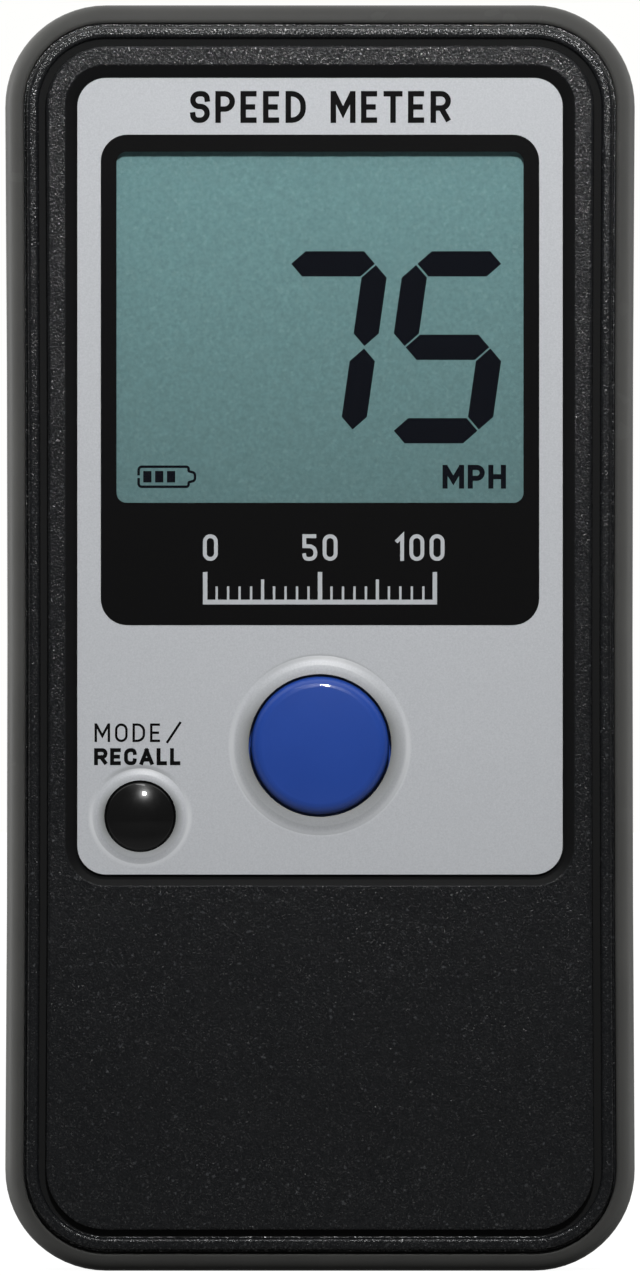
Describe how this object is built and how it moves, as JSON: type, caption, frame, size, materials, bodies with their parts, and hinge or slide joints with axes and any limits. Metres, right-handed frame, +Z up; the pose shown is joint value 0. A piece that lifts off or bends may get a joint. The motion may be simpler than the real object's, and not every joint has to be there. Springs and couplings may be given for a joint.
{
  "type": "handheld speed radar",
  "caption": "Pocket-size handheld speed radar with a digital display, a large trigger button, a small mode button and a battery compartment in the back.",
  "frame": {"origin": "middle of the bottom end's outline, on the plane it stands on", "axes": "+Z up the case, +X to the user's right as they read the display, +Y away from the user, the way the radar looks"},
  "size_m": [0.0592, 0.021, 0.119],
  "materials": {
    "textured_case": "fine spark-eroded texture, black",
    "smooth_case": "smooth satin, dark grey",
    "silver_overlay": "fine satin silver print on sheet",
    "clear_window": "polished clear",
    "black_foam": "closed-cell foam",
    "display_glass": "polished clear",
    "display_panel": "grey-green reflective backing",
    "inner_frame": "moulded white",
    "zebra_rubber": "layered elastomer",
    "blue_button": "glossy blue",
    "black_button": "glossy black",
    "switch_black": "moulded black",
    "switch_stem": "moulded brown",
    "circuit_board": "green solder mask",
    "antenna_laminate": "pale microwave laminate",
    "chip_black": "moulded epoxy",
    "bright_steel": "nickel-plated",
    "dark_screw": "black oxide",
    "gold_metal": "gold flash",
    "capacitor_can": "printed can",
    "ferrite": "sintered ferrite",
    "chip_ceramic": "fired ceramic",
    "cell_wrap": "plain two-colour wrap",
    "lead_red": "insulated wire",
    "lead_black": "insulated wire",
    "plain_label": "silver paper with no lettering"
  },
  "bodies": {
    "case": {"front_housing": "textured_case", "rear_housing": "smooth_case", "face_overlay": "silver_overlay", "window_lens": "clear_window", "display_gasket": "black_foam", "lcd_front_glass": "display_glass", "lcd_back_panel": "display_panel", "lcd_frame": "inner_frame", "zebra_strip": "zebra_rubber", "fire_switch_body": "switch_black", "mode_switch_body": "switch_black", "main_board": "circuit_board", "board_screws": "bright_steel", "processor_chip": "chip_black", "power_chip": "chip_black", "crystal_can": "bright_steel", "power_inductor": "ferrite", "bulk_capacitor": "capacitor_can", "smd_capacitors": "chip_ceramic", "smd_resistors": "chip_black", "rf_shield": "bright_steel", "radar_chip": "chip_black", "antenna_board": "antenna_laminate", "antenna_patches": "gold_metal", "antenna_screws": "bright_steel", "board_standoffs": "gold_metal", "board_header": "switch_black", "header_pins": "gold_metal", "battery_cell_left": "cell_wrap", "battery_cell_right": "cell_wrap", "contact_positive": "bright_steel", "contact_negative": "bright_steel", "contact_bridge": "bright_steel", "battery_springs": "bright_steel", "battery_lead_positive": "lead_red", "battery_lead_negative": "lead_black", "case_screws": "dark_screw", "rear_label": "plain_label"},
    "fire_button": {"fire_button": "blue_button", "fire_switch_stem": "switch_stem"},
    "mode_button": {"mode_button": "black_button", "mode_switch_stem": "switch_stem"},
    "battery_door": {"battery_door": "smooth_case"}
  },
  "joints": [
    {"name": "fire_press", "type": "slide", "parent": "case", "child": "fire_button", "axis": [0, 1, 0], "range_m": [0, 0.0005]},
    {"name": "mode_press", "type": "slide", "parent": "case", "child": "mode_button", "axis": [0, 1, 0], "range_m": [0, 0.0005]},
    {"name": "door_hinge", "type": "hinge", "parent": "case", "child": "battery_door", "pos_m": [0, 0.0092, 0.00495], "axis": [-1, 0, 0], "range_deg": [0, 80]}
  ]
}
